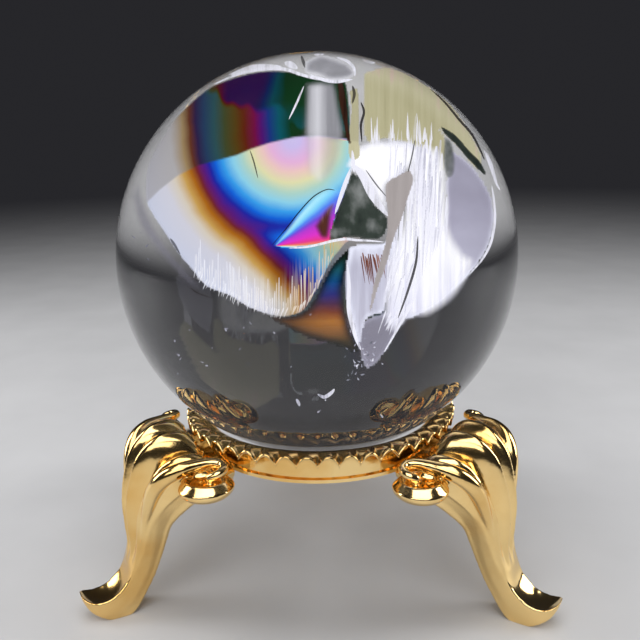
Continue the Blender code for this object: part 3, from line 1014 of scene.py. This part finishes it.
SHADOWS = [
    ([(-0.223, 0.035), (-0.149, 0.122), (-0.089, 0.199), (-0.020, 0.273), (0.045, 0.310),
      (0.089, 0.308)], 0.005, 0.4, 0.75),
    ([(-0.333, 0.506), (-0.313, 0.447), (-0.293, 0.367)], 0.006, 0.6, 0.6),
    ([(0.218, 0.744), (0.233, 0.695), (0.218, 0.630), (0.223, 0.546)], 0.011, 0.3, 0.7),
    ([(0.243, 0.407), (0.293, 0.337), (0.342, 0.278)], 0.005, 0.4, 0.6),
    ([(0.486, 0.556), (0.471, 0.476), (0.452, 0.397)], 0.005, 0.4, 0.6),
    ([(0.501, 0.079), (0.491, -0.050), (0.452, -0.189), (0.402, -0.328)], 0.011, 0.4, 0.7),
    ([(0.555, 0.818), (0.634, 0.744), (0.707, 0.656), (0.767, 0.587), (0.805, 0.518),
      (0.831, 0.459)], 0.010, 0.5, 0.7),
    ([(-0.078, 0.975), (-0.068, 0.946), (-0.057, 0.914)], 0.014, 0.5, 0.5),
    ([(0.176, 0.826), (0.185, 0.786), (0.176, 0.738)], 0.014, 0.6, 0.6),
    ([(-0.628, -0.178), (-0.589, -0.204), (-0.533, -0.224)], 0.010, 0.5, 0.5),
    ([(-0.728, 0.068), (-0.708, 0.039), (-0.679, -0.011)], 0.010, 0.5, 0.5),
]

# Displayed colours of the veils, from dark to light tones.
WHITE = [(0.0, (0.34, 0.35, 0.40)), (0.45, (0.72, 0.72, 0.80)), (0.8, (0.95, 0.95, 1.0))]
LAVENDER = [(0.0, (0.40, 0.39, 0.44)), (0.5, (0.66, 0.65, 0.73)), (1.0, (0.92, 0.93, 1.0))]
KHAKI = [(0.0, (0.48, 0.44, 0.35)), (0.45, (0.71, 0.69, 0.55)), (0.8, (0.78, 0.76, 0.63)),
         (1.0, (0.83, 0.73, 0.69))]
SMOKE = [(0.0, (0.09, 0.12, 0.11)), (0.4, (0.24, 0.27, 0.25)), (1.0, (0.66, 0.67, 0.67))]
GLOW = [(0.0, (0.60, 0.59, 0.64)), (0.5, (0.86, 0.86, 0.93)), (0.9, (1.0, 1.0, 1.0))]
TAUPE = [(0.0, (0.48, 0.45, 0.44)), (1.0, (0.76, 0.73, 0.73))]
PILLAR = [(0.0, (0.42, 0.42, 0.44)), (0.5, (0.66, 0.66, 0.69)), (1.0, (0.90, 0.90, 0.93))]
BROWN = [(0.0, (0.10, 0.08, 0.07)), (0.6, (0.34, 0.20, 0.15)), (1.0, (0.62, 0.46, 0.38))]
COMB = [(0.0, (0.62, 0.34, 0.14)), (0.4, (0.86, 0.70, 0.42)), (0.7, (0.93, 0.91, 0.90)),
        (1.0, (0.95, 0.96, 1.0))]
DARK = [(0.0, (0.05, 0.06, 0.08)), (1.0, (0.20, 0.18, 0.18))]
RUST = [(0.0, (0.35, 0.14, 0.08)), (1.0, (0.72, 0.52, 0.45))]


def film_veils():
    """The rainbow film, the smaller film below it and the bright swoosh in front of it."""
    film = film_material("iridescent_film", FILM_BRIGHT, FILM_DIM)
    facet = film_material("facet_film", FACET_FILM, FACET_FILM)
    swoosh = film_material("swoosh_film", SWOOSH_FILM, SWOOSH_FILM, waver=1.5)
    sheet("veil_rainbow", RAINBOW_EDGE, (0.42, 0.10, 0.06), rainbow_fields, film, FINE_STEP)
    sheet("veil_facet", FACET_EDGE, (0.44, 0.08, 0.08), facet_fields, facet)
    sheet("veil_swoosh", SWOOSH_EDGE, (0.395, 0.08, 0), swoosh_fields, swoosh, FINE_STEP, feather=0.006)


def disc_tone(x, y, edge):
    glow = 0.12 * spot(x, y, (0.759, 0.134), 0.16, 0.12) + 0.45 * spot(x, y, (0.58, -0.16), 0.20, 0.13)
    return 0.38 + 0.22 * smooth_step(0.3, -0.2, y) + 0.35 * soft_line(edge, 0.014) + glow


def window_tone(x, y, edge):
    glow = 0.45 * spot(x, y, (0.203, 0.298), 0.05, 0.10) + 0.35 * spot(x, y, (0.104, 0.099), 0.06, 0.03)
    return 0.28 + glow + 0.3 * spot(x, y, (0.288, 0.134), 0.05, 0.04)


def face_tone(x, y, edge):
    return 0.66 + 0.3 * smooth_step(0.03, 0.0, edge) + 0.25 * smooth_step(-0.08, 0.03, y)


def pillar_cover(x, y, edge):
    return 0.85 * smooth_step(0.0, 0.05, edge) * (0.35 + 0.65 * above(GLARE_EDGE, x, y, 0.03))


def broad_veils(soft, khaki, smoke):
    """The milky, khaki and smoky veils on the right of the film."""
    sheet("veil_disc", DISC_EDGE, (0.52, -0.06, 0), plain(disc_tone), soft)
    sheet("veil_mist", MIST_EDGE, (0.435, 0.02, 0),
          plain(lambda x, y, edge: 0.78 - 0.22 * smooth_step(0.0, -0.3, y), 0.96,
                lighter_below_glare(0.85, 1.1)),
          veil_material("mist_veil", GLOW, (38.0, 2.2), 0.9), feather=0.07)
    sheet("veil_olive", OLIVE_EDGE, (0.46, 0.05, 0),
          plain(lambda x, y, edge: 0.50 + 0.30 * smooth_step(0.86, 0.95, np.hypot(x, y)), 0.96), khaki)
    sheet("veil_window", WINDOW_EDGE, (0.36, 0.05, 0), plain(window_tone, 0.97), smoke)
    sheet("veil_face", FACE_EDGE, (0.44, 0.05, 0), plain(face_tone),
          veil_material("face_veil", LAVENDER, (34.0, 2.5), 0.55))
    sheet("veil_tail", TAIL_EDGE, (0.45, 0.05, 0),
          plain(lambda x, y, edge: 0.25 + 0.5 * soft_line(edge, 0.012), 0.62), soft)
    sheet("veil_glow", GLOW_EDGE, (0.40, 0.05, 0),
          plain(lambda x, y, edge: 0.62 + 0.35 * smooth_step(0.0, 0.08, edge), 0.95,
                lighter_below_glare(0.75, 1.1)),
          veil_material("glow_veil", GLOW, (26.0, 4.0)), feather=0.04)


def narrow_veils(soft, khaki, smoke):
    """The pillar, the streaks and the small patches near the middle and the top."""
    taupe = veil_material("taupe_blade", TAUPE, (30.0, 3.0))
    sheet("veil_blade", TAUPE_EDGE, (0.33, 0.05, 0), plain(0.6, 0.97), taupe, FINE_STEP, feather=0.006)
    grey = veil_material("grey_pillar", PILLAR, (26.0, 1.2))
    sheet("veil_pillar", PILLAR_EDGE, (0.38, 0, 0),
          plain(lambda x, y, edge: 0.42 + 0.55 * soft_line(x, 0.035), pillar_cover,
                lighter_below_glare(0.85, 1.1)), grey, feather=0.05)
    sheet("veil_cap", CAP_EDGE, (0.30, 0, 0),
          plain(lambda x, y, edge: 0.35 + 0.6 * soft_line(edge, 0.02), 0.85),
          veil_material("cap_veil", PILLAR, (8.0, 14.0), 0.7), FINE_STEP)
    brown = veil_material("brown_streak", BROWN, (40.0, 4.0), 0.8)
    sheet("veil_patch", PATCH_EDGE, (0.385, 0.08, 0),
          plain(lambda x, y, edge: 0.55 + 2.0 * (y - 0.12), 0.92), brown, FINEST_STEP, feather=0.035)
    sheet("veil_streak", BROWN_EDGE, (0.35, 0, 0), plain(0.22), brown, FINEST_STEP, feather=0.008)
    sheet("veil_strip", STRIP_EDGE, (0.36, 0, 0), plain(0.62, 0.95, lighter_below_glare(0.9, 1.1)),
          khaki, FINEST_STEP, feather=0.006)
    sheet("veil_slash", SLASH_EDGE, (0.34, 0, 0), plain(0.2), smoke, FINEST_STEP, feather=0.005)
    sheet("veil_blot", BLOT_EDGE, (0.35, 0, 0), plain(0.45, 0.6), smoke, FINEST_STEP, feather=0.020)
    sheet("veil_haze", LEFT_HAZE_EDGE, (0.5, 0, 0), plain(0.2, 0.42, 0.8), soft, feather=0.05)


def needles(rng):
    """Long upright needles in the mist and, below them, short ones that slant down to the left."""
    lines = []
    for _ in range(130):
        x = rng.uniform(0.357, 0.645)
        top = rng.uniform(0.12, 0.56)
        length = rng.uniform(0.10, 0.34)
        low = np.interp(x, [0.357, 0.462, 0.645], [-0.164, -0.238, 0.079])
        bottom = max(top - length, low + rng.uniform(-0.03, 0.03))
        if bottom > top - 0.03:
            continue
        lines.append(((x, top), (x + rng.normal(-0.012, 0.006), bottom),
                      rng.uniform(0.004, 0.014), rng.uniform(0.45, 1.1)))
    for _ in range(42):
        y = rng.uniform(-0.328, 0.069)
        x = rng.uniform(0.392, 0.521) - 0.28 * (0.069 - y) * 0.55
        lines.append(((x, y), (x - rng.uniform(0.01, 0.04), y - rng.uniform(0.05, 0.16)),
                      rng.uniform(0.006, 0.016), rng.uniform(0.5, 1.05)))
    return lines


def fringe(rng):
    """Short needles that stand up along the glare's upper edge."""
    lines = []
    for _ in range(46):
        x = rng.uniform(0.253, 0.571)
        y = rng.uniform(0.556, 0.665)
        reach = rng.uniform(0.03, 0.15)
        lines.append(((x, y - 0.10), (x + rng.normal(0, 0.006), y - 0.10 + reach),
                      rng.uniform(0.004, 0.012), rng.uniform(0.7, 1.0)))
    return lines


def comb(rng):
    """Teeth along the foot of the film, paler to the left, most with a bent tip."""
    lines = []
    for k in range(COMB_TEETH):
        x = -0.600 + 0.679 * k / (COMB_TEETH - 1) + rng.normal(0, 0.002)
        foot = np.interp(x, *zip(*COMB_FOOT))
        tone = np.interp(x, [-0.556, -0.233, 0.079], [1.0, 0.75, 0.35]) + rng.uniform(-0.15, 0.15)
        top = foot + rng.uniform(0.06, 0.20)
        bend = foot + 0.028
        lines.append(((x, top), (x + rng.normal(0, 0.002), bend - 0.01),
                      rng.uniform(0.003, 0.006), tone))
        if rng.uniform() < 0.6:
            lines.append(((x, bend + 0.012),
                          (x - rng.uniform(0.008, 0.022), foot - rng.uniform(0, 0.015)),
                          rng.uniform(0.004, 0.008), tone + 0.1))
    return lines


def fibres(white):
    """White needles and combs that stand in bundles where the crystal healed."""
    rng = np.random.default_rng(7)
    blades("blades_white", needles(rng), (0.37, 0.05, 0), white, 0.85)
    blades("blades_fringe", fringe(rng), (0.40, 0.05, 0), white, 0.75)
    teeth = veil_material("comb_blades", COMB, (30.0, 5.0), 0.4)
    blades("blades_comb", comb(rng), (0.405, 0.10, 0.06), teeth, 0.55)


def rust_comb():
    """A row of short brown teeth under the right end of the ridge."""
    rust = veil_material("rust_comb", RUST, (30.0, 5.0))
    rng = np.random.default_rng(11)
    lines = []
    for k in range(12):
        x = 0.218 + 0.0095 * k + rng.normal(0, 0.002)
        lines.append(((x, -rng.uniform(0, 0.04)), (x + 0.02, -rng.uniform(0.10, 0.19)),
                      rng.uniform(0.005, 0.009), rng.uniform(0.0, 0.6)))
    blades("blades_rust", lines, (0.40, 0.05, 0), rust)


def specks(white):
    """Small bright flakes: a rough cluster at the tail's tip and a trail of single ones."""
    rng = np.random.default_rng(5)
    lines = []
    for middle, spread, count in SPECKS:
        for _ in range(count):
            x = rng.normal(middle[0], spread[0])
            y = rng.normal(middle[1], spread[1])
            turn = rng.uniform(0, math.pi)
            size = rng.uniform(0.006, 0.022)
            lines.append(((x, y), (x + size * math.cos(turn), y + size * math.sin(turn)),
                          rng.uniform(0.004, 0.010), rng.uniform(0.0, 0.7)))
    blades("flakes", lines, (0.38, 0.08, 0), white, 0.8)


def flaws():
    film_veils()
    white = veil_material("white_veil", WHITE, (45.0, 2.5), grain=0.9, holes=0.7)
    soft = veil_material("milky_veil", LAVENDER, (3.0, 4.0), grain=0.35)
    khaki = veil_material("olive_veil", KHAKI, (34.0, 1.6), grain=0.7)
    smoke = veil_material("smoky_window", SMOKE, (13.0, 9.0), grain=0.9)
    broad_veils(soft, khaki, smoke)
    narrow_veils(soft, khaki, smoke)
    fibres(white)
    strokes("edge_glints", GLINTS, (0.325, 0.05, 0), white)
    strokes("edge_shadows", SHADOWS, (0.315, 0.05, 0), veil_material("dark_line", DARK, (9.0, 9.0)))
    rust_comb()
    specks(white)


# The studio.

FLOOR_RADIUS = 0.6
FLOOR_SIDES = 96
ROOM_LIGHT = (0.020, 0.020, 0.023, 1.0)
VEILS_IN_A_ROW = 32          # how many see-through faces a line of sight may cross
# Softboxes: (name, place, (width, height), watts). All of them face the ball.
SOFTBOXES = [
    ("top_softbox", (0.0, -0.08, 0.32), (0.34, 0.38), 1.10),
    ("left_softbox", (-0.26, 0.02, 0.14), (0.10, 0.22), 0.40),
    ("right_softbox", (0.26, 0.04, 0.14), (0.10, 0.22), 0.40),
    ("front_fill", (-0.06, -0.32, 0.22), (0.40, 0.12), 0.35),
]


def camera():
    data = bpy.data.cameras.new("camera")
    data.lens = LENS
    data.sensor_width = SENSOR
    data.shift_x, data.shift_y = SHIFT
    data.clip_start = NEAR_CLIP
    cam = add_object("camera", data)
    cam.matrix_world = Matrix.Translation(VIEW_POINT) @ VIEW_TURN.to_4x4()
    bpy.context.scene.camera = cam


def softbox(name, place, size, watts, lit):
    """A soft light that faces the ball and lights the collection lit."""
    data = bpy.data.lights.new(name, "AREA")
    data.shape = "RECTANGLE"
    data.size, data.size_y = size
    data.energy = watts
    light = add_object(name, data, place)
    light.rotation_euler = (BALL_CENTRE - light.location).to_track_quat("-Z", "Y").to_euler()
    light.light_linking.receiver_collection = lit


def all_but_the_ball():
    """The softboxes leave the ball out, so that no hard square shows in front of its colours."""
    lit = bpy.data.collections.new("all_but_the_ball")
    for obj in bpy.context.scene.collection.all_objects:
        if obj.type == "MESH" and obj.name != "ball_crystal":
            lit.objects.link(obj)
    return lit


def floor_disc():
    """Pale paper that fades out before its edge, so the floor has no horizon."""
    material, tree, shader = new_material("floor_paper")
    grain = cloud(tree, 60.0, 3.0)
    colour = ramp(tree, grain, [(0.3, (0.52, 0.52, 0.53)), (0.7, (0.56, 0.56, 0.57))])
    tree.links.new(colour, shader.inputs["Base Color"])
    shader.inputs["Roughness"].default_value = 0.6
    place = add_node(tree, "ShaderNodeTexCoord").outputs["Object"]
    reach = add_node(tree, "ShaderNodeVectorMath", operation="LENGTH")
    tree.links.new(place, reach.inputs[0])
    share = maths(tree, "DIVIDE", reach.outputs["Value"], FLOOR_RADIUS)
    fade = ramp(tree, share, [(0.25, (1.0, 1.0, 1.0)), (0.95, (0.0, 0.0, 0.0))])
    tree.links.new(fade, shader.inputs["Alpha"])
    mesh = bpy.data.meshes.new("floor")
    bm = bmesh.new()
    bmesh.ops.create_circle(bm, cap_ends=True, segments=FLOOR_SIDES, radius=FLOOR_RADIUS)
    bm.to_mesh(mesh)
    bm.free()
    mesh.materials.append(material)
    add_object("floor", mesh)


def studio():
    floor_disc()
    world = bpy.data.worlds.new("studio")
    world.use_nodes = True
    world.node_tree.nodes["Background"].inputs["Color"].default_value = ROOM_LIGHT
    scene = bpy.context.scene
    scene.world = world
    scene.view_settings.view_transform = "Standard"
    scene.cycles.transparent_max_bounces = VEILS_IN_A_ROW
    lit = all_but_the_ball()
    for name, place, size, watts in SOFTBOXES:
        softbox(name, place, size, watts, lit)


def main():
    crystal_ball()
    flaws()
    rim()
    legs()
    carried_nodes()
    camera()
    studio()


main()
